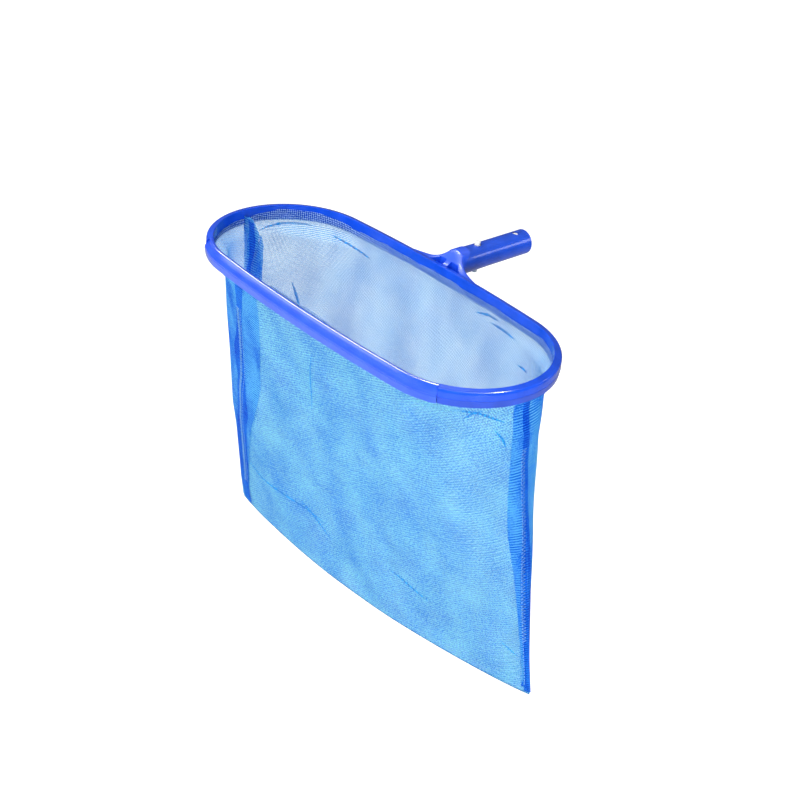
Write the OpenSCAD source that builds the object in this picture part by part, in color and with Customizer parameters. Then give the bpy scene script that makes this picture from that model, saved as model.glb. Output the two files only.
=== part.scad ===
// Leaf skimmer net: an oval rim that a telescopic pole carries, with a deep bag of fine mesh.
// The origin is on the handle tube's axis, at the tube's mouth. +Y runs out of the mouth along
// the pole, +X along the rim, and +Z out of the net, so the bag hangs towards -Z.

/* [Rim] */
// Length of the rim, end to end
rim_l = 460; // [400:10:520]
// Width of the rim, front to back
rim_w = 200; // [196:2:216]
// Radius of the rim's rounded ends
end_r = 95; // [85:1:97]
// Height of the rim's inner wall
rim_h = 17; // [16:0.5:20]
// Width of the rim, from its outer edge to its inner wall's face
rim_t = 8; // [7.6:0.1:9]
// Thickness of the moulded walls
wall = 1.8; // [1.6:0.1:2]
// Radius of the shoulder along the outer edge
shoulder_r = 3; // [2.5:0.25:3]
// How much lower the shoulder lies than the crest along the inner edge
crown = 1; // [0.6:0.1:1.2]
// Depth below the rim's top of the line where the retainers close it
retainer_z = 10.2; // [9.8:0.1:11]
// Angle round the ends at which the front bar takes over from the frame
bar_angle = 59; // [50:1:70]
// How far the front bar's lip stands out in front of the rim
lip_out = 1.5; // [0:0.25:2]

/* [Neck and handle] */
// Distance from the rim's centre to the tube's mouth
handle_reach = 219; // [205:1:240]
// Outer diameter of the handle tube, which slides into the pole
tube_d = 28; // [26:0.5:30]
// Wall of the handle tube
tube_wall = 2.5; // [2:0.25:2.75]
// How much wider the tube's root is than its end, so that the pole jams there
root_taper = 0.8; // [0.4:0.1:1.2]
// Length over which the pole slides freely
spigot_l = 64; // [50:1:66]
// Depth of the tube's axis below the rim's top
tube_drop = 2; // [1:0.5:4]
// Width of the neck where it flares into the rim
neck_w = 96; // [80:2:110]
// Length of the neck, from the rim's outer edge to the saddle's tip
neck_l = 29; // [28:0.5:36]
// Diameter of the clip's holes through the tube
hole_d = 8.2; // [7.8:0.1:9]
// Distance from the tube's mouth to the first pair of holes
hole_inset = 14.5; // [14.5:0.5:18]
// Distance between the two pairs of holes
hole_pitch = 59; // [50:1:60]

/* [Spring clip] */
// Diameter of the locking buttons
button_d = 6.5; // [6:0.1:7]
// How far the buttons stand out of the tube
button_out = 4.5; // [3:0.25:5]
// Width of the clip's arms
arm_w = 8; // [6:0.5:9]
// Thickness of the clip's arms
arm_t = 1.8; // [1.4:0.1:2]

/* [Net bag] */
// Thickness of the mesh, doubled at its folds
net_t = 1; // [0.8:0.1:1.2]
// Depth of the hem below the rim's top
hem_low = 22; // [20:1:26]
// Depth of the bag below its hem, at its corners
bag_depth = 372; // [250:5:420]
// Width of the bag along its bottom fold
bag_foot = 494; // [440:2:520]
// How much lower the bottom fold hangs in its middle
bag_sag = 7; // [0:1:20]
// How far the bottom fold bows forward in its middle
bag_bow = 20; // [0:1:30]
// How much higher the right corner hangs than the middle, and the left lower
bag_tilt = 13; // [0:1:20]
// How far the hanging bag swings to the right
swing_x = 13; // [0:1:20]
// How far the hanging bag swings towards the handle
swing_y = 25; // [0:1:30]
// How far the right corner turns towards the handle, and the left one away
bag_twist = 7; // [0:1:10]
// Width of the side seams' folded allowance
seam_w = 10; // [6:1:14]

/* [Hidden] */

// The rim's outline is four arcs that meet without a corner: two round ends and two long sides.
end_x = rim_l / 2 - end_r;
side_off = (pow(end_x, 2) - pow(rim_w / 2 - end_r, 2)) / (2 * (rim_w / 2 - end_r));
side_r = rim_w / 2 + side_off;
end_turn = atan2(side_off, end_x);
side_turn = 90 - end_turn;
end_facets = 80;
side_facets = 400;

// Places in the rim's wall: depths below its top, and distances u in from its outer edge
retainer_low = rim_h + 0.3;
retainer_out = 0.2;
inner_u = rim_t - wall;
hem_u = inner_u - 1.2;
tongue_u = hem_u - 1.35;
leg_u = tongue_u - 0.05;
leg_t = 1.4;
crest_u = rim_t - 3;
crest_r = 1.6;
edge_r = 1;
lap_angle = 11;
lap_clear = 0.3;
joint_gap = 0.3;
gap_turn = joint_gap / end_r * 180 / PI;
lip_r = 0.7;

tube_r = tube_d / 2;
bore_r = tube_r - tube_wall;
root_r = tube_r + root_taper / 2;
saddle_r = root_r + 0.8;
neck_y = rim_w / 2 - 0.6;
tube_back = neck_y + 14.8;
bore_back = tube_back + 4;
saddle_y = neck_y + 17;
neck_edge = 0.9;
neck_rows = 10;
neck_columns = 20;
// The saddle's lower edge, as distances from the neck's start and heights
saddle_edge = [
    [15.2, -5], [15.3, -1], [16.1, 1.8], [18.2, 4.4], [21.6, 7], [24.8, 9.2], [27, 10.8],
    [28.3, 12.2], [28.8, 13.2],
];

first_hole_y = handle_reach - hole_inset;
button_y = first_hole_y - hole_pitch;
arm_z = bore_r - 1.3 - arm_t;
clip_y = first_hole_y + hole_d / 2 - 0.4;
clip_gap = 0.3;
pin_d = 6;

columns = 32;
seam_half = 1;
levels = [0, 0.025, 0.08, 0.18, 0.3, 0.42, 0.54, 0.66, 0.78, 0.9, 0.985, 1];

// How far the cloth at each end of the bag is drawn in, by depth. Below the middle of the left
// end it bulges out.
left_inset = [
    [0, 0], [0.025, 14], [0.08, 12], [0.18, 7.5], [0.3, 2.5], [0.45, -4], [0.6, -8],
    [0.8, -5], [1, 0],
];
right_inset = [
    [0, 0], [0.025, 8], [0.08, 7.2], [0.18, 6.6], [0.3, 5.2], [0.45, 2.1], [0.6, 0.8],
    [0.8, 0], [1, 0],
];

// ---------- helpers ----------

// Puts what is drawn round the rim's centre, with z = 0 at the rim's top, in its place
module at_rim() {
    translate([0, -handle_reach, tube_drop]) children();
}

// Sweeps a wall section round one end of the rim. The section's x is the distance in from the
// rim's outer edge and its y the height. side is 1 for the right end and -1 for the left.
module end_sweep(side, a0, a1) {
    mirror([side < 0 ? 1 : 0, 0, 0])
        translate([end_x, 0, 0])
            rotate([0, 0, a0])
                rotate_extrude(angle = a1 - a0, $fn = end_facets)
                    translate([end_r, 0])
                        mirror([1, 0])
                            children();
}

// Sweeps a wall section along one long side. side is 1 for the rear and -1 for the front.
module side_sweep(side, half_angle = side_turn) {
    mirror([0, side < 0 ? 1 : 0, 0])
        translate([0, -side_off, 0])
            rotate([0, 0, 90 - half_angle])
                rotate_extrude(angle = 2 * half_angle, $fn = side_facets)
                    translate([side_r, 0])
                        mirror([1, 0])
                            children();
}

// The stretch of the rim in front of the given angle round both ends
module bar_sweep(from_angle) {
    for (side = [-1, 1])
        end_sweep(side, -end_turn, -from_angle) children();
    side_sweep(-1) children();
}

// The rest of the rim, behind that angle
module frame_sweep(from_angle) {
    mirror([0, 1, 0]) bar_sweep(-from_angle) children();
}

function arc(cx, cy, r, a0, a1, n) =
    [for (i = [0:n]) let (a = a0 + (a1 - a0) * i / n) [cx + r * cos(a), cy + r * sin(a)]];

// ---------- wall sections ----------

// A curve from p to r that leaves and arrives in line with q
function curve(p, q, r, n) =
    [for (i = [0:n]) let (k = i / n) pow(1 - k, 2) * p + 2 * k * (1 - k) * q + pow(k, 2) * r];

// The frame is a channel that opens downwards. Its top falls from the crest along the inner edge
// to a round shoulder.
module frame_section() {
    polygon(concat(
        arc(rim_t - edge_r, -edge_r, edge_r, 0, 90, 3),
        arc(shoulder_r, -shoulder_r - crown, shoulder_r, 90, 180, 5),
        [[0, -retainer_z], [wall, -retainer_z], [wall, -shoulder_r - crown]],
        [[shoulder_r, -crown - wall], [inner_u, -wall - 0.05], [inner_u, -rim_h]],
        [[rim_t, -rim_h]]
    ));
}

// The front bar's face drops from its crest and flattens out towards the lip that scoops the
// leaves
module bar_section() {
    crest = [crest_u - 1.4, -0.8];
    lip = [lip_r - lip_out, -retainer_z + 2.7];
    polygon(concat(
        arc(rim_t - edge_r, -edge_r - 0.4, edge_r, 0, 90, 3),
        arc(crest_u, -crest_r, crest_r, 80, 140, 3),
        curve(crest, [crest[0] - 0.9, -0.53 * retainer_z], lip, 4),
        [[-lip_out, lip[1] - lip_r], [-lip_out, -retainer_z], [wall - lip_out, -retainer_z]],
        curve(
            [wall - lip_out + 0.1, -retainer_z + 1],
            [crest_u - 0.8, -0.6 * retainer_z],
            [crest_u + 0.3, -wall - 0.4],
            3
        ),
        [[inner_u, -wall - 0.4], [inner_u, -rim_h], [rim_t, -rim_h]]
    ));
}

// The leg inside the front bar that the retainer's tongue grips
module bar_leg_section() {
    polygon([
        [leg_u - leg_t, -retainer_z], [leg_u, -retainer_z], [leg_u, -retainer_z + 5],
        [leg_u - leg_t, -retainer_z + 3.2],
    ]);
}

// The blade that the frame's ends push into the front bar
module lap_section() {
    polygon([
        [wall - 0.3, -retainer_z], [tongue_u - 0.15, -retainer_z],
        [tongue_u - 0.15, -retainer_z + 3.8], [wall - 0.3, -retainer_z + 1.5],
    ]);
}

// The retainer's foot closes the channel and its barbed tongue traps the hem
module retainer_section(foot_u) {
    polygon([
        [foot_u + 0.8, -retainer_low], [hem_u - 0.4, -retainer_low], [hem_u, -retainer_low + 0.4],
        [hem_u, -5.8], [hem_u - 0.5, -5], [tongue_u, -6.4], [tongue_u, -retainer_z],
        [foot_u, -retainer_z], [foot_u, -retainer_z - 1],
    ]);
}

module hem_section() {
    translate([hem_u, -hem_low]) square([inner_u - hem_u, hem_low - 4.2]);
}

// ---------- rim ----------

module rim_frame() {
    color("#2a4fe0") at_rim() {
        frame_sweep(bar_angle) frame_section();
        for (side = [-1, 1])
            end_sweep(side, -bar_angle - lap_angle, -bar_angle + 0.5) lap_section();
    }
}

module front_bar() {
    color("#3b62ee") at_rim() {
        bar_sweep(bar_angle + gap_turn) bar_section();
        bar_sweep(bar_angle + lap_angle + lap_clear) bar_leg_section();
    }
}

module frame_retainer() {
    color("#2443c8") at_rim() frame_sweep(bar_angle) retainer_section(-retainer_out);
}

module bar_retainer() {
    color("#3356e6") at_rim()
        bar_sweep(bar_angle + gap_turn) retainer_section(-lip_out - retainer_out);
}

// ---------- neck and handle ----------

function ease(v) = v * v * (3 - 2 * v);

// A cross-section of the neck, from q = 0 inside the rim's edge to q = 1 at the saddle, where it
// is a round arch. It spreads out, sinks and gets flat towards the rim.
function neck_ring(q) =
    let (
        arch_r = saddle_r - 0.15,
        y = neck_y - 2 + q * (saddle_y - neck_y + 2),
        half = arch_r + (neck_w / 2 - arch_r) * pow(1 - q, 1.6),
        edge_z = -neck_edge + (neck_edge - tube_drop) * q,
        rise = arch_r * ease(min(1, q / 0.97)),
        lean = 1.8 * q,
        sharpness = 1 + 2.6 * (1 - q)
    )
    concat(
        [for (i = [0:neck_columns])
            let (a = 180 * i / neck_columns)
            [half * cos(a), y - lean * (1 - sin(a)), edge_z + rise * pow(max(0, sin(a)), sharpness)]],
        [[-half, y - lean, -retainer_z], [half, y - lean, -retainer_z]]
    );

// The body that flares from the saddle to the rim, lofted through those cross-sections
module neck_flare() {
    n = neck_columns + 3;
    rings = [for (i = [0:neck_rows]) neck_ring(i / neck_rows)];
    last = neck_rows * n;
    polyhedron(
        points = [for (r = rings) each r],
        faces = concat(
            [for (i = [0:neck_rows - 1], k = [0:n - 1])
                let (a = i * n + k, b = i * n + (k + 1) % n)
                each [[a, b + n, a + n], [a, b, b + n]]],
            [for (k = [0:n - 3]) [n - 1, k + 1, k]],
            [for (k = [0:n - 3]) [last + n - 1, last + k, last + k + 1]]
        ),
        convexity = 6
    );
}

// Two pockets cored out between the rim and the saddle, with a rib between them
module neck_pockets() {
    rib = 3.2;
    for (side = [-1, 1])
        mirror([side < 0 ? 1 : 0, 0, 0])
            translate([0, 0, -7])
                linear_extrude(height = 30)
                    polygon([
                        [rib, neck_y - 2], [rib, neck_y + 4.2], [rib + 0.8, neck_y + 5],
                        [13.5, neck_y + 5.8], [24.5, neck_y - 2],
                    ]);
}

// The space that the rear of the rim fills, up to the top of its shoulder
module rear_wall_space() {
    side_sweep(1, 2.2)
        polygon(concat(
            [[40, -30], [40, 30], [shoulder_r * (1 + cos(108)), 30]],
            arc(shoulder_r, -shoulder_r - crown, shoulder_r, 108, 180, 4),
            [[0, -30]]
        ));
}

// The saddle lies over the tube. Seen from the side, its edge sweeps up to a rounded tongue.
module neck_saddle() {
    intersection() {
        translate([0, neck_y + neck_l, -tube_drop])
            rotate([90, 0, 0])
                cylinder(r = saddle_r, h = neck_l - 15.8, $fn = 96);
        rotate([90, 0, 90])
            translate([0, 0, -30])
                linear_extrude(height = 60)
                    polygon(concat(
                        [for (p = saddle_edge) [neck_y + p[0], p[1]]],
                        [[neck_y + neck_l - 0.2, 20], [neck_y + 15, 20], [neck_y + 15, -5]]
                    ));
    }
}

module neck() {
    color("#2f57e8") at_rim()
        difference() {
            union() {
                neck_flare();
                neck_saddle();
            }
            neck_pockets();
            rear_wall_space();
            // Socket for the tube
            translate([0, tube_back, -tube_drop])
                rotate([-90, 0, 0])
                    cylinder(r = root_r + 0.05, h = 60, $fn = 96);
        }
}

module handle_tube() {
    color("#1f45d8") at_rim()
        translate([0, 0, -tube_drop])
            difference() {
                rotate([-90, 0, 0])
                    rotate_extrude($fn = 96)
                        polygon([
                            [0, tube_back], [root_r, tube_back], [root_r, neck_y + neck_l + 1],
                            [tube_r, handle_reach - spigot_l], [tube_r, handle_reach],
                            [0, handle_reach],
                        ]);
                translate([0, bore_back, 0])
                    rotate([-90, 0, 0])
                        cylinder(r = bore_r, h = 200, $fn = 96);
                for (y = [first_hole_y, button_y])
                    translate([0, y, -tube_r - 1])
                        cylinder(d = hole_d, h = tube_d + 2, $fn = 48);
            }
}

// ---------- spring clip ----------

// The bow is bent round the tube's axis just inside the mouth and grips the bore
module clip_bow() {
    color("white") at_rim()
        translate([0, clip_y, -tube_drop])
            intersection() {
                rotate([0, 90, 0])
                    translate([0, 0, -bore_r])
                        difference() {
                            cylinder(r = arm_z + arm_t, h = 2 * bore_r, $fn = 64);
                            translate([0, 0, -1])
                                cylinder(r = arm_z, h = 2 * bore_r + 2, $fn = 64);
                        }
                translate([-bore_r, 0, -bore_r]) cube([2 * bore_r, bore_r + 5, 2 * bore_r]);
                translate([0, -1, 0])
                    rotate([-90, 0, 0])
                        cylinder(r = bore_r, h = 30, $fn = 96);
            }
}

// One arm, with its locking button and, nearer the bow, the pin that holds the clip in place
module clip_arm() {
    button_top = tube_r + button_out;
    arm_end = button_y - 6;
    translate([0, 0, -tube_drop]) {
        translate([-arm_w / 2, arm_end, arm_z]) cube([arm_w, clip_y - clip_gap - arm_end, arm_t]);
        translate([0, button_y, arm_z + arm_t / 2]) {
            cylinder(d = button_d, h = button_top - 1 - arm_z - arm_t / 2, $fn = 48);
            translate([0, 0, button_top - 1 - arm_z - arm_t / 2])
                cylinder(d1 = button_d, d2 = button_d - 2, h = 1, $fn = 48);
        }
        translate([0, first_hole_y, arm_z + arm_t / 2])
            cylinder(d = pin_d, h = bore_r + 1 - arm_z - arm_t / 2, $fn = 48);
    }
}

module upper_clip_arm() {
    color("white") at_rim() clip_arm();
}

module lower_clip_arm() {
    color("white") at_rim()
        translate([0, 0, -2 * tube_drop]) mirror([0, 0, 1]) clip_arm();
}

// ---------- net bag ----------

// A point and its outward normal on the rear half of the rim's outline, set in by u.
// s runs from 0 at the right end to 1 at the left.
function rim_half(s, u) =
    let (
        end_len = (end_r - u) * end_turn * PI / 180,
        side_len = (side_r - u) * 2 * side_turn * PI / 180,
        d = s * (2 * end_len + side_len),
        from_end = min(d, 2 * end_len + side_len - d),
        sign = s < 0.5 ? 1 : -1,
        on_end = from_end < end_len,
        a = on_end
            ? from_end / (end_r - u) * 180 / PI
            : 90 - side_turn + (from_end - end_len) / (side_r - u) * 180 / PI
    )
    on_end
        ? [[sign * (end_x + (end_r - u) * cos(a)), (end_r - u) * sin(a)], [sign * cos(a), sin(a)]]
        : [[sign * (side_r - u) * cos(a), -side_off + (side_r - u) * sin(a)],
           [sign * cos(a), sin(a)]];

// Half-length of the mouth, from which the bag widens to its bottom fold
mouth_half = rim_l / 2 - inner_u;

// How far the bag's middle plane has swung at depth t and place xn, from -1 to 1 along the rim
function swing(t, xn) = swing_y * t + bag_twist * t * xn - bag_bow * t * t * (1 - xn * xn);

function depth(t, xn) =
    -hem_low - t * (bag_depth + bag_sag * (1 - xn * xn)) + bag_tilt * t * xn;

// Normal of the outline after it has been stretched by [kx, ky]
function stretched(n, kx, ky) =
    let (v = [n[0] * ky, n[1] * kx], l = norm(v)) l > 0 ? v / l : [0, 1];

// How far the cloth at depth t and place xn is drawn in
function inset(t, xn) =
    ease(min(1, max(0, (abs(xn) - 0.5) / 0.35))) * lookup(t, xn < 0 ? left_inset : right_inset);

// A point on the bag's inner face (out = 0) or outer face (out = 1). side is 1 on the rear panel.
function bag_point(side, s, t, out) =
    let (
        xn = rim_half(s, inner_u)[0][0] / mouth_half,
        p = rim_half(s, inner_u + inset(t, xn)),
        widen = 1 + (bag_foot / 2 / mouth_half - 1) * t,
        narrow = pow(1 - t, 1.1),
        n = stretched(p[1], widen, narrow) * out * net_t,
        closed = t == 1 && out == 0
    )
    [
        swing_x * t + p[0][0] * widen + n[0],
        swing(t, xn) + side * (closed ? 0 : seam_half + p[0][1] * narrow + n[1]),
        depth(t, xn)
    ];

// Triangles between two neighbouring rows of points
function band(a, b, n, flip) =
    [for (j = [0:n - 1], k = [0, 1])
        let (tri = k == 0 ? [a + j, b + j, b + j + 1] : [a + j, b + j + 1, a + j + 1])
        flip ? [tri[2], tri[1], tri[0]] : tri];

// A thin curved wall: an outer and an inner grid of points, joined round their edges
module thin_wall(outer, inner, rows, cols, flip) {
    row = cols + 1;
    half = row * (rows + 1);
    faces = concat(
        [for (i = [0:rows - 1]) each band(i * row, (i + 1) * row, cols, flip)],
        [for (i = [0:rows - 1]) each band(half + i * row, half + (i + 1) * row, cols, !flip)],
        band(half, 0, cols, flip),
        band(rows * row, half + rows * row, cols, flip),
        [for (i = [0:rows - 1], e = [0, cols], k = [0, 1])
            let (
                a = i * row + e, b = a + row, c = half + a, d = half + b,
                tri = k == 0 ? [a, c, b] : [c, d, b],
                turned = (e == 0) != flip
            )
            turned ? tri : [tri[2], tri[1], tri[0]]]
    );
    polyhedron(points = concat(outer, inner), faces = faces, convexity = 6);
}

module net_panel(side) {
    rows = len(levels) - 1;
    outer = [for (t = levels, j = [0:columns]) bag_point(side, j / columns, t, 1)];
    inner = [for (t = levels, j = [0:columns]) bag_point(side, j / columns, t, 0)];
    thin_wall(outer, inner, rows, columns, side > 0);
}

// The folded allowance stands inwards from the line where the panels meet
module side_seam(end) {
    s = end > 0 ? 0 : 1;
    rows = len(levels) - 2;
    ring = [for (i = [0:rows])
        let (
            p = bag_point(1, s, levels[i], 0),
            y = swing(levels[i], end),
            y_in = swing(levels[i], end * (1 - seam_w / mouth_half)),
            profile = [[net_t, y, seam_half], [0, y, seam_half], [-seam_w, y_in, seam_half / 2]]
        )
        each concat(
            [for (c = profile) [p[0] + end * c[0], c[1] - c[2], p[2]]],
            [for (k = [2:-1:0]) let (c = profile[k]) [p[0] + end * c[0], c[1] + c[2], p[2]]]
        )];
    sides = [for (i = [0:rows - 1], k = [0:5])
        let (a = 6 * i + k, b = 6 * i + (k + 1) % 6)
        each [[a, b, b + 6], [a, b + 6, a + 6]]];
    last = 6 * rows;
    ends = [for (k = [1:4]) each [[0, k + 1, k], [last, last + k, last + k + 1]]];
    faces = concat(sides, ends);
    polyhedron(
        points = ring,
        faces = end > 0 ? [for (f = faces) [f[2], f[1], f[0]]] : faces,
        convexity = 4
    );
}

module net_hem() {
    color("#3f8fe0") at_rim() {
        frame_sweep(end_turn) hem_section();
        side_sweep(-1) hem_section();
    }
}

module net_front_panel() {
    color("#6fb6f0") at_rim() net_panel(-1);
}

module net_rear_panel() {
    color("#6fb6f0") at_rim() net_panel(1);
}

module left_seam() {
    color("#1268dc") at_rim() side_seam(-1);
}

module right_seam() {
    color("#1268dc") at_rim() side_seam(1);
}

rim_frame();
neck();
handle_tube();
front_bar();
frame_retainer();
bar_retainer();
net_hem();
net_front_panel();
net_rear_panel();
left_seam();
right_seam();
clip_bow();
upper_clip_arm();
lower_clip_arm();
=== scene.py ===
"""Leaf skimmer net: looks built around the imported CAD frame.

The rigid parts keep their CAD meshes and get a finish. The net's CAD panels, hem and seams are
replaced by one thin sheet of mesh, with the seams' loose allowances, threads and narrow folds on
it. Lengths are in millimetres from the rim's centre unless said otherwise.
"""

import math
import random

import bpy
import numpy as np
from mathutils import Matrix, Vector


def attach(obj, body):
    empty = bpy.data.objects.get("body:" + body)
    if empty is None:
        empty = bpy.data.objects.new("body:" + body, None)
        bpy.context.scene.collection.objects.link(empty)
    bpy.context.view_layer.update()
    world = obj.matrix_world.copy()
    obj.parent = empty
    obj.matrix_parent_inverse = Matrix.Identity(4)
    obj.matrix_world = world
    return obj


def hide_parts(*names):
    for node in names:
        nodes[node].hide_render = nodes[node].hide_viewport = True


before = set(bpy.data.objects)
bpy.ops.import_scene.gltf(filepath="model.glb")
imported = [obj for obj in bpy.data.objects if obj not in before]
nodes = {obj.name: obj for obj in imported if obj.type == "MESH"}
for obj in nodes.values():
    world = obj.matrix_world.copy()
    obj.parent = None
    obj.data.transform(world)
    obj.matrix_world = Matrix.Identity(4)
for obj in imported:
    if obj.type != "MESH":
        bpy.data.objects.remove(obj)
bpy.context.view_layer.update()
rng = random.Random(7)
scene = bpy.context.scene

MM = 0.001
# The rim's centre, at its top, in the row frame
RING = Vector((0.0, -0.219, 0.002))
WHITE = (1.0, 1.0, 1.0, 1.0)


def to_row(point):
    """A point given in millimetres from the rim's centre, in the row frame, in metres."""
    return RING + point * MM


# ---------------------------------------------------------------- materials


class Graph:
    """A node tree, with short ways to add nodes and link them."""

    def __init__(self, tree):
        self.nodes, self.link = tree.nodes, tree.links.new

    def add(self, kind, inputs=None, **settings):
        """A new node. inputs, by name or number, are values, or outputs to link."""
        node = self.nodes.new("ShaderNode" + kind)
        for key, value in settings.items():
            setattr(node, key, value)
        for key, value in (inputs or {}).items():
            if isinstance(value, bpy.types.NodeSocket):
                self.link(value, node.inputs[key])
            else:
                node.inputs[key].default_value = value
        return node

    def calc(self, operation, *terms):
        return self.add("Math", dict(enumerate(terms)), operation=operation).outputs[0]

    def times(self, a, b):
        return self.calc("MULTIPLY", a, b)

    def total(self, first, *rest):
        for term in rest:
            first = self.calc("ADD", first, term)
        return first

    def remap(self, value, a, b, c, d):
        """value mapped from a..b to c..d and held there."""
        return self.add("MapRange", {"Value": value, "From Min": a, "From Max": b,
                                     "To Min": c, "To Max": d}).outputs["Result"]

    def noise(self, where, scale, detail, rough=0.5, output="Fac"):
        inputs = {"Scale": scale, "Detail": detail, "Roughness": rough}
        if where:
            inputs["Vector"] = where
        return self.add("TexNoise", inputs).outputs[output]

    def ramp(self, value, *stops):
        """A colour that follows value from one (position, colour) to the other."""
        node = self.add("ValToRGB", {"Fac": value})
        for element, (position, colour) in zip(node.color_ramp.elements, stops):
            element.position = position
            element.color = (*colour, 1.0)
        return node.outputs["Color"]

    def bump(self, height, strength, distance):
        return self.add("Bump", {"Height": height, "Strength": strength,
                                 "Distance": distance}).outputs["Normal"]

    def mixed(self, share, a, b):
        """Shader a, and b by its share."""
        return self.add("MixShader", {0: share, 1: a, 2: b}).outputs["Shader"]

    def finish(self, shader):
        self.add("OutputMaterial", {"Surface": shader})


def new_material(name):
    mat = bpy.data.materials.new(name)
    mat.use_nodes = True
    mat.node_tree.nodes.clear()
    return mat, Graph(mat.node_tree)


def plastic(name, colour, rough, coat=0.9):
    """Moulded plastic: slow flow marks in its colour, fine pebble in its gloss and surface."""
    mat, g = new_material(name)
    where = g.add("TexCoord").outputs["Object"]
    flow = g.noise(where, 60.0, 3.0)
    pebble = g.noise(where, 900.0, 2.0)
    dark = tuple(c * 0.88 for c in colour)
    light = tuple(min(1.0, c * 1.12 + 0.004) for c in colour)
    g.finish(g.add("BsdfPrincipled", {
        "Base Color": g.ramp(flow, (0.3, dark), (0.7, light)),
        "Roughness": g.remap(pebble, 0.0, 1.0, rough * 0.8, rough * 1.25),
        "IOR": 1.49,
        "Coat Weight": coat,
        "Coat Roughness": 0.1,
        "Normal": g.bump(pebble, 0.02, 0.0004),
    }).outputs["BSDF"])
    return mat


# How far the weave wanders, in metres
WANDER = 0.008
# Height of the weave where a hole's edge begins and where thread is full
HOLE_EDGE = (0.74, 0.93)
# Tint of what is seen through the holes
HOLE_TINT = (0.8, 0.95, 1.0, 1.0)
# Share of the thread that shines through
THREAD_GLOW = 0.4
# The weaker rib that crosses the first one: its turn along U, of the first's, and along V
COUNTER_RIB_U, COUNTER_RIB_V = -0.35, 2000.0
# The middle part of a noise's range, in which nearly all of it lies
NOISE_MIDDLE = (0.35, 0.65)


def net_material(name, outer, inner=None, pitch=1.45, rib=(2150.0, 1300.0), knot_highlight=0.3, ribs=0.2,
                 fold_shade_depth=(0.0, 0.0), cover=(0.06, 0.97)):
    """Knitted mesh with open holes, drawn from the cloth's UVs in metres.

    outer, inner: the thread's darker and lighter tones on the cloth's two faces. Both faces
    are the same thread; their different tones are painted light and shade.
    pitch: distance between threads. rib: turn of the diagonal rib along U and V, in radians
    per metre. knot_highlight, ribs, fold_shade_depth: how much the painted highlight where
    threads cross, the ribs, and the painted fold shade outside and inside change the tone.
    cover: how much is covered in a hole's middle and on a thread.
    """
    mat, g = new_material(name)
    uv = g.add("UVMap", uv_map="cloth").outputs["UV"]
    drift = g.noise(uv, 9.0, 1.0, 0.4, "Color")
    place = g.add("VectorMath", {0: drift, 1: (WANDER, WANDER, 0.0), 2: uv},
                  operation="MULTIPLY_ADD").outputs[0]
    split = g.add("SeparateXYZ", {"Vector": place})
    u, v = split.outputs["X"], split.outputs["Y"]
    turns = math.pi * 1000.0 / pitch

    def thread(axis):
        """1 on a thread's middle, 0 in the middle of a hole."""
        return g.calc("ABSOLUTE", g.calc("SINE", g.times(axis, turns)))

    def wave(along_u, along_v):
        return g.calc("SINE", g.total(g.times(u, along_u), g.times(v, along_v)))

    across, along = thread(u), thread(v)
    weave = g.calc("MAXIMUM", across, along)
    # Slow patches where the mesh is tighter or looser
    patch = g.noise(uv, 22.0, 4.0, 0.6)
    looser = g.remap(patch, 0.3, 0.7, -0.05, 0.05)
    ribbed = g.total(g.times(wave(*rib), 0.7), wave(COUNTER_RIB_U * rib[0], COUNTER_RIB_V))
    # Painted glints: light caught on single loops of the knit, put into the tone
    loops = g.noise(place, 430.0, 1.0)
    glints = g.remap(loops, *NOISE_MIDDLE, -0.32, 0.32)
    # Painted highlight where two threads cross and the loop stands up, and painted shade between
    # the crossings
    knot_highlights = g.remap(g.times(across, along), 0.1, 0.8, -knot_highlight, knot_highlight)
    shade = g.total(patch, glints, g.times(ribbed, ribs), knot_highlights)
    # Painted fold shade: broad patches, longer down the cloth than across it, darker or lighter.
    # Where they are lighter the cloth is also a little more open
    drape = g.add("Mapping", {"Vector": uv, "Scale": (1.0, 0.45, 1.0),
                              "Rotation": (0.0, 0.0, 0.35)}).outputs["Vector"]
    fold_shade_and_thinning = g.noise(drape, 26.0, 1.5)
    shades = [g.total(shade, g.remap(fold_shade_and_thinning, *NOISE_MIDDLE, -depth, depth)) for depth in fold_shade_depth]
    thinner = g.remap(fold_shade_and_thinning, *NOISE_MIDDLE, fold_shade_depth[1] / 8, -fold_shade_depth[1] / 8)
    body = g.total(weave, looser, g.times(ribbed, 0.05), thinner)
    face_on = g.remap(body, *HOLE_EDGE, *cover)
    # Seen at a slant, the round threads close the holes
    facing = g.add("LayerWeight", {"Blend": 0.5}).outputs["Facing"]
    closing = g.calc("POWER", facing, 1.3)
    hole = g.times(g.calc("SUBTRACT", 1.0, face_on), g.calc("SUBTRACT", 1.0, closing))
    covered = g.calc("SUBTRACT", 1.0, hole)

    # Painted light and shade: the same thread gets one tone on the outer face and another on the
    # inner one
    faces = [g.ramp(tone, (0.15, dark), (0.85, light))
             for (dark, light), tone in zip((outer, inner or outer), shades)]
    backfacing = g.add("NewGeometry").outputs["Backfacing"]
    colour = g.add("Mix", {0: backfacing, 6: faces[0], 7: faces[1]}, data_type="RGBA").outputs[2]
    surface = g.add("BsdfPrincipled", {
        "Base Color": colour,
        "Roughness": 0.6,
        "IOR": 1.5,
        "Specular IOR Level": 0.15,
        "Normal": g.bump(weave, 0.5, 0.0003),
    }).outputs["BSDF"]
    through = g.add("BsdfTranslucent", {"Color": colour}).outputs["BSDF"]
    clear = g.add("BsdfTransparent", {"Color": HOLE_TINT}).outputs["BSDF"]
    g.finish(g.mixed(covered, clear, g.mixed(THREAD_GLOW, surface, through)))
    return mat


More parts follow.
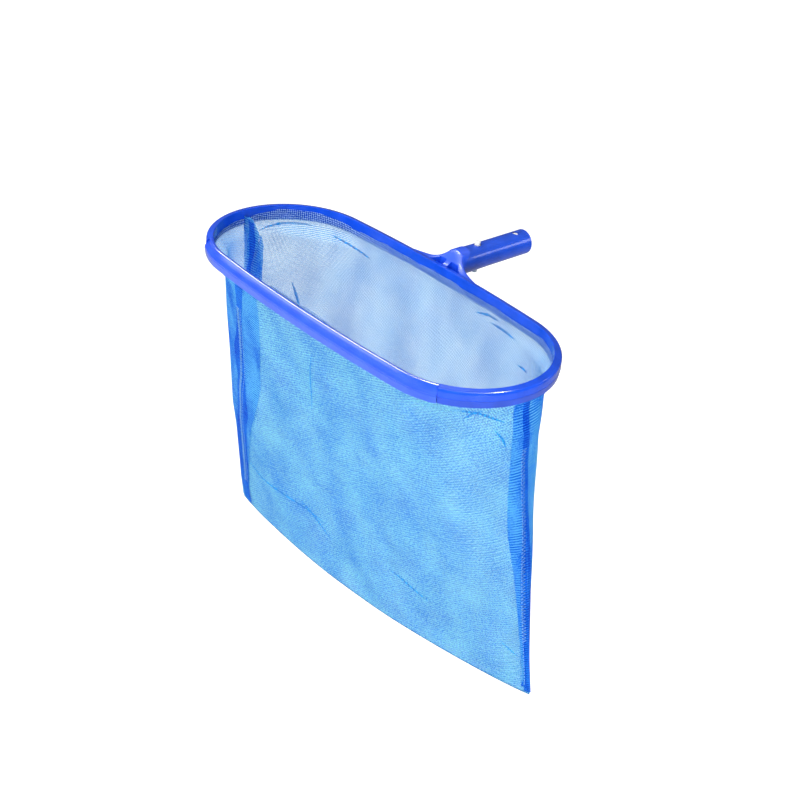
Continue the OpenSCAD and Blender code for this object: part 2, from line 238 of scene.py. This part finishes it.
def thread_material(name, colour):
    """Twisted sewing thread."""
    mat, g = new_material(name)
    ply = g.noise(g.add("TexCoord").outputs["Object"], 1400.0, 2.0)
    dark = tuple(c * 0.7 for c in colour)
    g.finish(g.add("BsdfPrincipled", {
        "Base Color": g.ramp(ply, (0.35, dark), (0.65, colour)),
        "Roughness": 0.5,
    }).outputs["BSDF"])
    return mat


RIM_BLUE = (0.003, 0.075, 0.72)
clip_white = plastic("clip_white", (0.84, 0.84, 0.83), 0.4, 0.2)
finishes = {
    "rim_frame": plastic("rim_blue", RIM_BLUE, 0.2),
    "front_bar": plastic("bar_blue", (0.02, 0.09, 0.8), 0.2),
    "neck": plastic("neck_blue", RIM_BLUE, 0.45, 0.3),
    "handle_tube": plastic("tube_blue", (0.006, 0.07, 0.6), 0.3, 0.6),
    "frame_retainer": plastic("retainer_blue", (0.01, 0.07, 0.6), 0.34),
    "bar_retainer": plastic("retainer_bar_blue", (0.03, 0.11, 0.74), 0.3),
    "clip_bow": clip_white,
    "upper_clip_arm": clip_white,
    "lower_clip_arm": clip_white,
}
for name, mat in finishes.items():
    for slot in nodes[name].material_slots:
        slot.material = mat

net = net_material("net_blue", ((0.0, 0.22, 0.82), (0.3, 0.86, 1.0)),
                   ((0.01, 0.22, 0.74), (0.17, 0.52, 0.95)), fold_shade_depth=(0.1, 0.22))
# The seams' loose allowances, and the several layers where they are sewn
band = net_material("band_blue", ((0.0, 0.15, 0.78), (0.16, 0.62, 1.0)),
                    ((0.0, 0.2, 0.85), (0.2, 0.7, 1.0)),
                    rib=(120.0, 1900.0), ribs=0.45, fold_shade_depth=(0.35, 0.35), cover=(0.25, 0.98))
deep = net_material("seam_blue", ((0.0, 0.07, 0.66), (0.03, 0.3, 0.95)),
                    rib=(300.0, 2300.0), ribs=0.4, fold_shade_depth=(0.3, 0.3), cover=(0.4, 0.99))
fold = net_material("fold_blue", ((0.0, 0.2, 0.8), (0.05, 0.56, 1.0)),
                    ((0.0, 0.22, 0.8), (0.04, 0.5, 1.0)), cover=(0.3, 0.98))
hem_net = net_material("hem_blue", ((0.02, 0.13, 0.5), (0.5, 0.75, 0.95)),
                       pitch=2.3, knot_highlight=0.6, cover=(0.1, 0.98))
stitch_light = thread_material("stitch_light", (0.25, 0.6, 1.0))

# ---------------------------------------------------------------- the bag's shape

# The rim's outline is four arcs that meet without a corner, as in part.scad
END_R, END_X = 95.0, 135.0
RIM_HALF_WIDTH = 100.0
BULGE = RIM_HALF_WIDTH - END_R
SIDE_OFF = (END_X**2 - BULGE**2) / (2 * BULGE)
SIDE_R = RIM_HALF_WIDTH + SIDE_OFF
END_TURN = math.atan2(SIDE_OFF, END_X)
SIDE_TURN = math.pi / 2 - END_TURN
# The net's mouth: how far it is set in from the outline, and the hem's lower edge
INNER_U = 6.2
HEM_LOW = 22.0
MOUTH_HALF = END_X + END_R - INNER_U
HALF_MOUTH = 2 * (END_R - INNER_U) * END_TURN + (SIDE_R - INNER_U) * 2 * SIDE_TURN
# The bag's depth, its length along the bottom fold, and how far that fold sags, bows, tilts,
# moves along x and y, and twists
BAG = dict(depth=372.0, foot=494.0, sag=7.0, bow=20.0, tilt=13.0, x=13.0, y=25.0, twist=7.0)
# How far the cloth at each end of the bag is drawn in, by depth from 0 to 1
LEFT_INSET = [(0, 0), (0.025, 14), (0.08, 12), (0.18, 7.5), (0.3, 2.5), (0.45, -4), (0.6, -8),
              (0.8, -5), (0.92, -2), (1, 3.5)]
RIGHT_INSET = [(0, 0), (0.025, 8), (0.08, 7.2), (0.18, 6.6), (0.3, 5.2), (0.45, 2.1), (0.6, 0.8),
               (0.8, -1.5), (1, -3.5)]
# Half the sheet's flat length, in metres
CLOTH_HALF = 0.385
# Half the gap between the two panels, away from the bag's ends
SEAM_GAP = 0.9


def table(pairs, x):
    return float(np.interp(x, *zip(*pairs)))


def ease(v):
    v = min(1.0, max(0.0, v))
    return v * v * (3 - 2 * v)


def outline(s, u):
    """Point and outward normal on the rear half of the rim's outline, set in by u. s runs from
    0 at the right end to 1 at the left."""
    end_len = (END_R - u) * END_TURN
    side_len = (SIDE_R - u) * 2 * SIDE_TURN
    d = s * (2 * end_len + side_len)
    from_end = min(d, 2 * end_len + side_len - d)
    sign = 1.0 if s < 0.5 else -1.0
    if from_end < end_len:
        a = from_end / (END_R - u)
        return (sign * (END_X + (END_R - u) * math.cos(a)), (END_R - u) * math.sin(a),
                sign * math.cos(a), math.sin(a))
    a = math.pi / 2 - SIDE_TURN + (from_end - end_len) / (SIDE_R - u)
    return (sign * (SIDE_R - u) * math.cos(a), -SIDE_OFF + (SIDE_R - u) * math.sin(a),
            sign * math.cos(a), math.sin(a))


def swing(t, xn):
    """How far the bag's middle plane has moved at depth t and place xn, -1 to 1 along the rim."""
    return BAG["y"] * t + BAG["twist"] * t * xn - BAG["bow"] * t * t * (1 - xn * xn)


# Ripples: waves along the rim, waves down the bag, phase, size
waves = [(rng.uniform(1.5, 7.0), rng.uniform(0.5, 3.5), rng.uniform(0, 6.28), rng.uniform(0.4, 1.0))
         for _ in range(7)]


def ripple(side, s, t):
    """How far the cloth stands out of its smooth shape. It is held at the seams, rim and fold."""
    free = min(1.0, 5 * s * (1 - s) + 0.12) * ease(t / 0.12) * ease((1.02 - t) / 0.1)
    total = 0.0
    for k, (along, down, phase, size) in enumerate(waves):
        turn = math.tau * (along * s + down * t * (1 if k % 2 else -1)) + phase + side
        total += size * math.sin(turn)
    return 1.1 * total * free


def bag(side, s, t, lift=0.0):
    """A point on the bag. side is -1 on the front panel and 1 on the rear one. t runs from 0 at
    the hem's low edge to 1 at the fold. lift moves it out along the cloth's normal, roughly."""
    xn = outline(s, INNER_U)[0] / MOUTH_HALF
    tt = min(1.0, max(t, 0.0))
    drawn = ease((abs(xn) - 0.5) / 0.35) * table(LEFT_INSET if xn < 0 else RIGHT_INSET, tt)
    # near the rim the seam itself hangs straight
    drawn *= 1 - 0.75 * ease((abs(xn) - 0.93) / 0.07) * ease((0.2 - tt) / 0.12)
    x, y, nx, ny = outline(s, INNER_U + drawn)
    widen = 1 + (BAG["foot"] / 2 / MOUTH_HALF - 1) * tt
    narrow = (1 - tt) ** 1.1
    vx, vy = nx * narrow, ny * widen
    length = math.hypot(vx, vy)
    vx, vy = (vx / length, vy / length) if length > 1e-9 else (0.0, 1.0)
    out = lift + ripple(side, s, tt)
    gap = SEAM_GAP * min(1.0, 12 * s * (1 - s))
    # above the hem's low edge the cloth runs straight up
    sag = BAG["sag"] * (1 - xn * xn) if t > 0 else 0
    z = -HEM_LOW - t * (BAG["depth"] + sag) + BAG["tilt"] * tt * xn
    return Vector((BAG["x"] * tt + x * widen + vx * out,
                   swing(tt, xn) + side * (gap + y * narrow + vy * out), z))


def cloth_uv(side, s, t):
    """Where a point of the bag lies on the flat sheet, in metres from the fold's right end."""
    return (s * HALF_MOUTH * MM, side * (1 - t) * CLOTH_HALF)


pieces = []


def add_piece(name, points, faces, mat):
    """A smooth mesh from points and faces. The net is the first piece, the rest goes with it."""
    me = bpy.data.meshes.new(name)
    me.from_pydata([tuple(to_row(p)) for p in points], [], faces)
    me.materials.append(mat)
    for poly in me.polygons:
        poly.use_smooth = True
    ob = bpy.data.objects.new(name, me)
    scene.collection.objects.link(ob)
    pieces.append(ob)
    return me


def sheet(name, mat, rows, cols, at):
    """A sheet of rows by cols faces. at(i, k) gives a corner's point and its UV in metres."""
    corners = [at(i, k) for i in range(rows + 1) for k in range(cols + 1)]
    line = cols + 1
    faces = [(i * line + k, i * line + k + 1, (i + 1) * line + k + 1, (i + 1) * line + k)
             for i in range(rows) for k in range(cols)]
    me = add_piece(name, [point for point, _ in corners], faces, mat)
    layer = me.uv_layers.new(name="cloth")
    for loop in me.loops:
        layer.data[loop.index].uv = corners[loop.vertex_index][1]


COLS, ROWS = 150, 110
# The cloth's upper edge, inside the rim
TOP_T = -0.022
levels = [TOP_T, TOP_T / 2] + [i / ROWS for i in range(ROWS + 1)]
# One folded sheet: down the front, through the fold, up the rear
lines = [(-1, t) for t in levels] + [(1, t) for t in levels[-2::-1]]


def net_corner(i, k):
    side, t = lines[i]
    s = k / COLS
    return bag(side, s, t, 0.3 if t > 0 else -0.4), cloth_uv(side, s, t)


sheet("net_bag", net, len(lines) - 1, COLS, net_corner)

# ---------------------------------------------------------------- folds


def along_path(path, count):
    """count + 1 evenly spaced points along a polyline."""
    pts = [np.array(p, float) for p in path]
    d = [0.0]
    for a, b in zip(pts, pts[1:]):
        d.append(d[-1] + float(np.linalg.norm(b - a)))
    at = np.linspace(0, d[-1], count + 1)
    return [tuple(float(np.interp(a, d, [p[k] for p in pts])) for k in range(len(pts[0])))
            for a in at]


TUCK_STEPS = 28
TUCK_LIFT = 0.8
# Places across a tuck, of its width
TUCK_ACROSS = (-0.5, -0.17, 0.17, 0.5)


def tuck(name, side, width, path):
    """A narrow fold of cloth along a path of (s, t), tapering at its ends. On the front panel it
    lies outside, on the rear one inside, where it is seen through the mouth."""
    lift = -side * TUCK_LIFT
    middle = along_path(path, TUCK_STEPS)
    centre = [bag(side, s, t, lift) for s, t in middle]
    widths = [width * max(0.08, math.sin(math.pi * (k / TUCK_STEPS)) ** 0.6)
              * rng.uniform(0.85, 1.1) for k in range(TUCK_STEPS + 1)]

    def corner(i, k):
        p, (s, t), q = centre[i], middle[i], TUCK_ACROSS[k]
        before, after = centre[max(0, i - 1)], centre[min(TUCK_STEPS, i + 1)]
        normal = (bag(side, s, t, lift + 1) - p).normalized()
        across = (after - before).normalized().cross(normal)
        crest = 0.5 * (1 - abs(2 * q)) * -side
        u, v = cloth_uv(side, s, t)
        return p + across * (widths[i] * q) + normal * crest, (u + widths[i] * q * MM, v)

    sheet(name, fold, TUCK_STEPS, len(TUCK_ACROSS) - 1, corner)


# The folds that show as darker lines: name, side, width, path of (s, t)
TUCKS = [
    ("front_tuck_mid", -1, 2.2, [(0.485, 0.075), (0.5125, 0.19), (0.5375, 0.303)]),
    ("front_tuck_low_left", -1, 2.4, [(0.655, 0.759), (0.61, 0.801), (0.565, 0.836)]),
    ("front_tuck_low_mid", -1, 2.4, [(0.3925, 0.788), (0.3425, 0.804), (0.295, 0.8145)]),
    ("front_tuck_low_right", -1, 2.0, [(0.125, 0.828), (0.1025, 0.849), (0.075, 0.865)]),
    ("front_tuck_arm", -1, 2.6, [(0.125, 0.01), (0.085, 0.025), (0.0475, 0.0486)]),
    ("front_tuck_arm_low", -1, 2.0, [(0.1225, 0.046), (0.1, 0.025), (0.0875, 0.004)]),
    ("front_tuck_foot", -1, 2.2, [(0.8375, 0.785), (0.7925, 0.807), (0.7275, 0.788),
                                  (0.66, 0.785), (0.58, 0.788)]),
    ("front_tuck_end", -1, 2.4, [(0.0675, 0.0725), (0.055, 0.099), (0.0475, 0.131)]),
    ("rear_tuck_right", 1, 3.0, [(0.3925, 0.017), (0.3575, 0.004), (0.3275, 0.004)]),
    ("rear_tuck_right_low", 1, 3.0, [(0.35, 0.0195), (0.3125, 0.0195), (0.2775, 0.025)]),
    ("rear_tuck_end", 1, 3.0, [(0.2525, 0.08), (0.235, 0.08), (0.22, 0.083)]),
    ("rear_tuck_left", 1, 3.0, [(0.81, 0.012), (0.755, 0.022), (0.6925, 0.038)]),
    ("rear_tuck_arc", 1, 3.0, [(0.9725, 0.0195), (0.95, 0.009), (0.9275, 0.0036), (0.905, 0.002),
                               (0.8775, 0.002), (0.8625, 0.002), (0.8475, 0.0036)]),
    ("rear_tuck_wedge", 1, 3.6, [(0.8825, 0.1865), (0.87, 0.218), (0.8575, 0.25),
                                 (0.845, 0.2845)]),
    ("rear_tuck_strip", 1, 3.0, [(0.93, 0.226), (0.9075, 0.237), (0.885, 0.253),
                                 (0.865, 0.274)]),
    ("left_tuck_end", -1, 3.0, [(0.925, 0.002), (0.9225, 0.012), (0.91, 0.03)]),
]
for entry in TUCKS:
    tuck(*entry)

# ---------------------------------------------------------------- seam allowances inside the bag


def seam_x(end, z):
    """Where the seam at that end of the bag is, at height z."""
    return bag(1, 0.0 if end > 0 else 1.0, (-HEM_LOW - z) / BAG["depth"]).x


def strip(name, end, left, right, off, mat, billow=0.8, rows=90, across=8, fray=0.0):
    """A strip of mesh between two edges given as (z, x). An edge of None is the seam at that end
    of the bag. off is how far it stands off the bag's middle plane, billow how far it waves and
    fray how ragged its top is."""
    given = [edge for edge in (left, right) if edge]
    z0, z1 = min(edge[0][0] for edge in given), max(edge[-1][0] for edge in given)

    def edge_x(edge, z):
        return table([(-p[0], p[1]) for p in edge], -z) if edge else seam_x(end, z)

    def corner(i, k):
        z = z0 + (z1 - z0) * i / rows
        x0 = edge_x(left, z) + 0.35 * math.sin(0.31 * z + off)
        x1 = edge_x(right, z) + 0.35 * math.sin(0.27 * z + 2 * off)
        f = k / across
        x = x0 + (x1 - x0) * f
        t = min(1.0, max(0.0, (-HEM_LOW - z) / BAG["depth"]))
        plane = swing(t, max(-1.0, min(1.0, x / MOUTH_HALF)))
        y = plane + off + billow * math.sin(0.045 * z + 2.4 * f + off)
        frayed = fray * math.sin(7 * f + off) * max(0.0, 1 - i / 5)
        # the cloth's grain lies at a slant to the strip
        return Vector((x, y, z + frayed)), ((x + 0.13 * z) * MM, (z - 0.09 * x) * MM)

    sheet(name, mat, rows, across, corner)


LEFT_EDGE = [(-20, -200), (-60, -192), (-93, -199), (-124, -203), (-158, -196), (-202, -194.5),
             (-243, -197), (-283, -207), (-311, -214), (-335, -217), (-357, -217), (-390, -214)]
LEFT_CORE = [(-100, -211), (-160, -213), (-210, -215), (-260, -217), (-310, -219),
             (-388, -217.5)]
RIGHT_EDGE = [(-26, 209), (-63, 209.8), (-78, 207), (-112, 209.4), (-136, 210.5), (-160, 211.7),
              (-185, 213), (-208, 218), (-221, 223.4), (-252, 233.4), (-302, 242.5), (-374, 252)]
RIGHT_CORE = [(-24, 215), (-59, 217.4), (-87, 220.4), (-139, 225.8), (-188, 230.5), (-262, 240),
              (-374, 253)]
# The flap stands up in the mouth, over the rim's wall, and the rest hangs below it
FLAP_UPPER = [(-5.5, -224), (-74, -222)]
FLAP_FREE = [(-5.5, -203), (-12, -197), (-20, -190.5), (-33, -195), (-50, -203), (-74, -214)]
FLAP_LOW_NEAR = [(-20, -193), (-33, -197), (-50, -204), (-75, -215), (-98, -216)]
FLAP_LOW_FREE = [(-20, -189.6), (-32, -186.2), (-43, -186.4), (-61, -188), (-88, -192),
                 (-98, -197)]
FLAP_CORE_NEAR = [(-9, -212), (-33, -210.7), (-52, -209.6), (-69, -214.5), (-86, -217.4),
                  (-127, -220)]
FLAP_CORE_FAR = [(-9, -202), (-28, -198.7), (-43, -200.6), (-61, -207), (-83, -210),
                 (-127, -211.6)]
strip("left_allowance_0", -1, None, LEFT_EDGE, -0.6, band)
strip("left_allowance_1", -1, None, [(z, x - 2.5) for z, x in LEFT_EDGE[2:]], 1.2, band)
strip("left_core", -1, None, LEFT_CORE, -2.0, deep, 0.4)
strip("right_allowance_0", 1, RIGHT_EDGE, None, -0.8, band)
strip("right_allowance_1", 1, [(z, x + 2.0) for z, x in RIGHT_EDGE], None, 1.2, band)
strip("right_core", 1, RIGHT_CORE, None, -2.2, deep, 0.4)
strip("left_flap", -1, FLAP_UPPER, FLAP_FREE, -3.4, band, 0.9, 50, 8, 1.4)
strip("left_flap_low", -1, FLAP_LOW_NEAR, FLAP_LOW_FREE, -1.8, band, 0.9, 50)
strip("left_flap_core", -1, FLAP_CORE_NEAR, FLAP_CORE_FAR, -4.6, deep, 0.6, 50, 6, 1.0)

# ---------------------------------------------------------------- seam bands on the outside


def surface_band(name, side, near, far, mat, lift, rows=100, across=10):
    """Seam allowance lying on the outside of the bag, between two edges given as (t, s)."""
    t0, t1 = max(near[0][0], far[0][0]), min(near[-1][0], far[-1][0])

    def corner(i, k):
        t = t0 + (t1 - t0) * i / rows
        a, b = table(near, t), table(far, t)
        s = a + (b - a) * k / across
        return bag(side, s, t, lift), (s * HALF_MOUTH * MM, t * BAG["depth"] * MM)

    sheet(name, mat, rows, across, corner)


BAND_LIFT, CORE_LIFT = 0.9, 1.3
LEFT_NEAR = [(-0.02, 0.632), (0.006, 0.64), (0.091, 0.656), (0.201, 0.677), (0.324, 0.715),
             (0.397, 0.727), (0.465, 0.744), (0.541, 0.765), (0.596, 0.783), (0.711, 0.819),
             (0.83, 0.854), (0.932, 0.875), (0.99, 0.885)]
LEFT_DEEP = [(0.0, 0.683), (0.103, 0.723), (0.248, 0.767), (0.371, 0.773), (0.477, 0.783),
             (0.549, 0.787), (0.664, 0.817), (0.775, 0.843), (0.881, 0.866), (0.99, 0.884)]
LEFT_DEEP_FAR = [(0.0, 0.71), (0.129, 0.758), (0.286, 0.815), (0.401, 0.806), (0.537, 0.844),
                 (0.618, 0.856), (0.745, 0.917), (0.839, 0.933), (0.928, 0.942), (0.99, 0.929)]
RIGHT_NEAR = [(-0.02, 0.03), (0.01, 0.0304), (0.0937, 0.0343), (0.177, 0.0361), (0.272, 0.0455),
              (0.368, 0.057), (0.438, 0.0606), (0.513, 0.058), (0.577, 0.0557), (0.63, 0.055),
              (0.742, 0.0554), (0.86, 0.0588), (0.99, 0.056)]
RIGHT_BACK = [(-0.02, 0.095), (0.1, 0.07), (0.2, 0.055), (0.4, 0.045), (0.6, 0.04), (0.8, 0.03),
              (0.99, 0.01)]
RIGHT_DEEP = [(-0.02, 0.011), (0.084, 0.0104), (0.171, 0.004), (0.263, 0.0079), (0.377, 0.0119),
              (0.496, 0.0212), (0.578, 0.032), (0.684, 0.0367), (0.798, 0.0422), (0.99, 0.051)]
RIGHT_DEEP_BACK = [(-0.02, 0.004), (0.09, 0.006), (0.17, 0.016), (0.27, 0.0137),
                   (0.387, 0.0132), (0.507, 0.0185), (0.592, 0.0255), (0.7, 0.03), (0.8, 0.019),
                   (0.99, 0.004)]
# The left allowance turns in where the bag rounds its end, and reaches the seam at the foot
END_LEFT = [(-0.02, 0.85), (0.107, 0.87), (0.235, 0.892), (0.362, 0.892), (0.49, 0.912),
            (0.618, 0.93), (0.745, 0.948), (0.873, 0.98), (0.99, 1.0)]
END_RIGHT = [(-0.02, 0.0), (0.99, 0.0)]
surface_band("left_band", -1, LEFT_NEAR, END_LEFT, band, BAND_LIFT, across=30)
surface_band("left_band_core", -1, LEFT_DEEP, LEFT_DEEP_FAR, deep, CORE_LIFT)
surface_band("right_band", -1, END_RIGHT, RIGHT_NEAR, band, BAND_LIFT)
surface_band("right_band_back", 1, END_RIGHT, RIGHT_BACK, band, BAND_LIFT)
surface_band("right_band_core", -1, END_RIGHT, RIGHT_DEEP, deep, CORE_LIFT)
surface_band("right_band_core_back", 1, END_RIGHT, RIGHT_DEEP_BACK, deep, CORE_LIFT)

# ---------------------------------------------------------------- sewing

THREAD_SIDES = 5
THREAD_LIFT = 1.7
# Any direction that no thread runs along
ASKEW = Vector((0.31, 0.87, 0.38))


def thread_mesh(name, segments, radius):
    """Short threads, each a list of points, as one mesh."""
    points, faces = [], []
    for pts in segments:
        start, last = len(points), len(pts) - 1
        for k, p in enumerate(pts):
            d = (pts[min(last, k + 1)] - pts[max(0, k - 1)]).normalized()
            a = d.cross(ASKEW).normalized()
            b = d.cross(a)
            for j in range(THREAD_SIDES):
                turn = math.tau * j / THREAD_SIDES
                points.append(p + (a * math.cos(turn) + b * math.sin(turn)) * radius)
        for k in range(last):
            for j in range(THREAD_SIDES):
                c = start + k * THREAD_SIDES + j
                n = start + k * THREAD_SIDES + (j + 1) % THREAD_SIDES
                faces.append((c, n, n + THREAD_SIDES, c + THREAD_SIDES))
        faces.append(tuple(start + j for j in range(THREAD_SIDES))[::-1])
        faces.append(tuple(start + last * THREAD_SIDES + j for j in range(THREAD_SIDES)))
    add_piece(name, points, faces, stitch_light)


def overlock(path, half, pitch):
    """One thread crossing to and fro along a path of (t, s) on the front panel, half to each
    side, there and back once per pitch."""
    fine = [(bag(-1, s, t, THREAD_LIFT), bag(-1, s, t, THREAD_LIFT + 1))
            for t, s in along_path(path, 300)]
    pts, gone = [], 0.0
    for (p, _), (q, out) in zip(fine, fine[1:]):
        gone += (q - p).length
        if gone < len(pts) * pitch / 2:
            continue
        across = (q - p).normalized().cross((out - q).normalized())
        reach = half * (1 if len(pts) % 2 else -1) + rng.uniform(-0.2, 0.2)
        pts.append(q + across * reach)
    return [pts]


def lockstitch(path, length=3.4, gap=1.4):
    """Dashes along a path of (t, s) on the front panel."""
    fine = [bag(-1, s, t, THREAD_LIFT) for t, s in along_path(path, 400)]
    runs, run, gone = [], [], 0.0
    for p, q in zip(fine, fine[1:]):
        gone += (q - p).length
        if gone % (length + gap) < length:
            run.append(q)
        elif run:
            runs.append(run)
            run = []
    return [r for r in runs if len(r) > 1]


LEFT_SEWN = [(0.1, 0.74), (0.146, 0.752), (0.252, 0.773), (0.384, 0.787), (0.511, 0.817),
             (0.596, 0.831), (0.69, 0.844), (0.796, 0.867), (0.902, 0.887)]
RIGHT_SEWN = [(0.15, 0.0), (0.27, 0.004), (0.38, 0.008), (0.48, 0.015), (0.58, 0.022),
              (0.685, 0.029), (0.8, 0.033), (0.97, 0.04)]
thread_mesh("left_overlock", overlock(LEFT_SEWN, 2.6, 4.0), 0.34)
thread_mesh("right_overlock", overlock(RIGHT_SEWN[:7], 2.2, 4.4), 0.34)
thread_mesh("left_stitches", lockstitch([(t, s - 0.012) for t, s in LEFT_SEWN]), 0.3)
thread_mesh("right_stitches", lockstitch([(t, s + 0.006) for t, s in RIGHT_SEWN]), 0.3)

# ---------------------------------------------------------------- hem on the rim's inner wall

# How far the hem lies in from the outline, its lower edge, and its rows of faces
HEM_U, HEM_FOOT, HEM_ROWS = 8.5, -17.9, 5
HEM_FACES_ROUND = 260


def hem_band(name, side, s0, s1, crest):
    """The hem's doubled mesh on the rim's inner wall; crest gives its top edge's height by s."""
    cols = int(HEM_FACES_ROUND * abs(s1 - s0))

    def corner(r, i):
        s = s0 + (s1 - s0) * i / cols
        top = table(crest, s) + 0.7 * math.sin(41 * s) + 0.45 * math.sin(97 * s + 1)
        z = top + (HEM_FOOT - top) * r / HEM_ROWS
        x, y, _, _ = outline(s, HEM_U + 0.35 * math.sin(23 * s + r))
        return Vector((x, side * y, z)), (s * HALF_MOUTH * MM, z * MM)

    sheet(name, hem_net, HEM_ROWS, cols, corner)


hem_band("hem_rear", 1, 0.0, 1.0, [(0, -11), (0.2, -10.5), (0.5, -9.5), (0.78, -10), (0.83, -7),
                                  (0.88, -4.5), (0.93, -5.5), (0.965, -9), (1, -11)])
# At the front it peeks out over the bar in two places
hem_band("hem_front", -1, 0.4, 0.62, [(0.4, -2), (0.43, 1.5), (0.5, 2.6), (0.513, -0.5),
                                      (0.525, 0.5), (0.56, 2.8), (0.6, 1.6), (0.62, -2)])
hem_band("hem_left", -1, 0.8, 1.0, [(0.8, -12), (1, -11)])
thread_mesh("flap_stitches", [[Vector((-211.6 + 0.3 * math.sin(z), -6.4, z)),
                               Vector((-211.3, -6.8, z - 0.9)),
                               Vector((-211.5, -6.4, z - 1.8))]
                              for z in np.arange(-24.0, -52.0, -3.0)], 0.45)

for ob in pieces:
    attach(ob, "net")
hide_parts("net_front_panel", "net_rear_panel", "net_hem", "left_seam", "right_seam")

# ---------------------------------------------------------------- stage


def by_ray(g, to_camera, to_gloss, to_rest):
    """An emission strength for camera rays, for reflections and for everything else."""
    path = g.add("LightPath")
    gloss = g.remap(path.outputs["Is Glossy Ray"], 0.0, 1.0, to_rest, to_gloss)
    return g.add("Mix", {0: path.outputs["Is Camera Ray"], 2: gloss, 3: to_camera},
                 data_type="FLOAT").outputs[0]


# In metres: below the bag, and wide enough to fill every view
FLOOR_HALF, FLOOR_Z = 30.0, -0.62
floor_me = bpy.data.meshes.new("floor")
floor_me.from_pydata([(x * FLOOR_HALF, y * FLOOR_HALF, FLOOR_Z)
                      for x, y in ((-1, -1), (1, -1), (1, 1), (-1, 1))], [], [(0, 1, 2, 3)])
floor_mat, g = new_material("floor_white")
g.finish(g.add("BsdfPrincipled", {
    "Base Color": g.ramp(g.noise(None, 3.0, 2.0), (0.3, (0.4,) * 3), (0.7, (0.42,) * 3)),
    "Roughness": 0.9,
    "Emission Color": WHITE,
    "Emission Strength": by_ray(g, 1.0, 0.05, 0.0),
}).outputs["BSDF"])
floor_me.materials.append(floor_mat)
floor = bpy.data.objects.new("floor", floor_me)
scene.collection.objects.link(floor)

world = bpy.data.worlds.new("studio")
scene.world = world
world.use_nodes = True
g = Graph(world.node_tree)
background = g.nodes["Background"]
background.inputs["Color"].default_value = WHITE
g.link(by_ray(g, 1.0, 0.12, 0.08), background.inputs["Strength"])

# ---------------------------------------------------------------- lights, in metres and watts


def place_object(ob, x_axis, y_axis, z_axis, where):
    """Put an object into the scene, with the directions of its axes and its place."""
    scene.collection.objects.link(ob)
    ob.matrix_world = Matrix([*zip(x_axis, y_axis, z_axis, where), (0, 0, 0, 1)])


def area_light(name, where, target, size, power, broad, along=None):
    """A light aimed at target; along is the direction of its long side. A broad one is kept out
    of the reflections, and any other is seen in reflections only."""
    data = bpy.data.lights.new(name, "AREA")
    data.energy = power
    data.shape = "RECTANGLE"
    data.size, data.size_y = size
    away = (Vector(where) - Vector(target)).normalized()
    side = Vector(along) if along else Vector((0, 0, 1)).cross(away)
    side = (side - away * side.dot(away)).normalized()
    ob = bpy.data.objects.new(name, data)
    place_object(ob, side, away.cross(side), away, where)
    ob.visible_glossy = not broad
    ob.visible_diffuse = broad


BAG_MIDDLE, BAR_MIDDLE = (0, -0.2, -0.15), (0, -0.31, 0)
area_light("top", (0.3, -0.5, 1.9), (0, -0.2, 0), (2.2, 2.2), 46, True)
area_light("key", (-1.1, -1.9, 0.5), BAG_MIDDLE, (2.4, 2.4), 62, True)
area_light("fill", (2.1, -1.1, -0.1), BAG_MIDDLE, (0.7, 0.7), 44, True)
area_light("bar_crest", (-1.03, -0.09, 1.09), BAR_MIDDLE, (0.75, 0.2), 11, False, (1, 0, 0.3))
area_light("arm_crest", (-0.2, 0.0, 1.42), (0.2, -0.3, 0), (1.5, 0.22), 40, False,
           (0.84, 0.54, 0.1))
area_light("bar_face", (-1.32, -1.77, -0.15), BAR_MIDDLE, (1.0, 0.85), 5.5, False)
area_light("tube_streak", (1.08, 1.32, 0.62), (0, 0.05, 0), (0.42, 0.42), 2.6, False)

# ---------------------------------------------------------------- camera

# The photograph's camera, fitted to the rim's outline and the object's straight edges
AZIMUTH, ELEVATION, ROLL = math.radians(45.43), math.radians(31.37), math.radians(5.97)
AIM = Vector((181.2, -125.7, 0.0))
DISTANCE = 1.2632
FOCAL_PX, FRAME_PX = 1409.6, 800

back = Vector((math.sin(AZIMUTH) * math.cos(ELEVATION), -math.cos(AZIMUTH) * math.cos(ELEVATION),
               math.sin(ELEVATION)))
right = Vector((math.cos(AZIMUTH), math.sin(AZIMUTH), 0))
up = back.cross(right)
cam_data = bpy.data.cameras.new("camera")
cam_data.sensor_width = 36
cam_data.lens = FOCAL_PX * cam_data.sensor_width / FRAME_PX
cam_data.clip_end = 100
camera = bpy.data.objects.new("camera", cam_data)
place_object(camera, right * math.cos(ROLL) + up * math.sin(ROLL),
             up * math.cos(ROLL) - right * math.sin(ROLL), back, to_row(AIM) + back * DISTANCE)
scene.camera = camera
scene.view_settings.view_transform = "Standard"
scene.view_settings.look = "None"
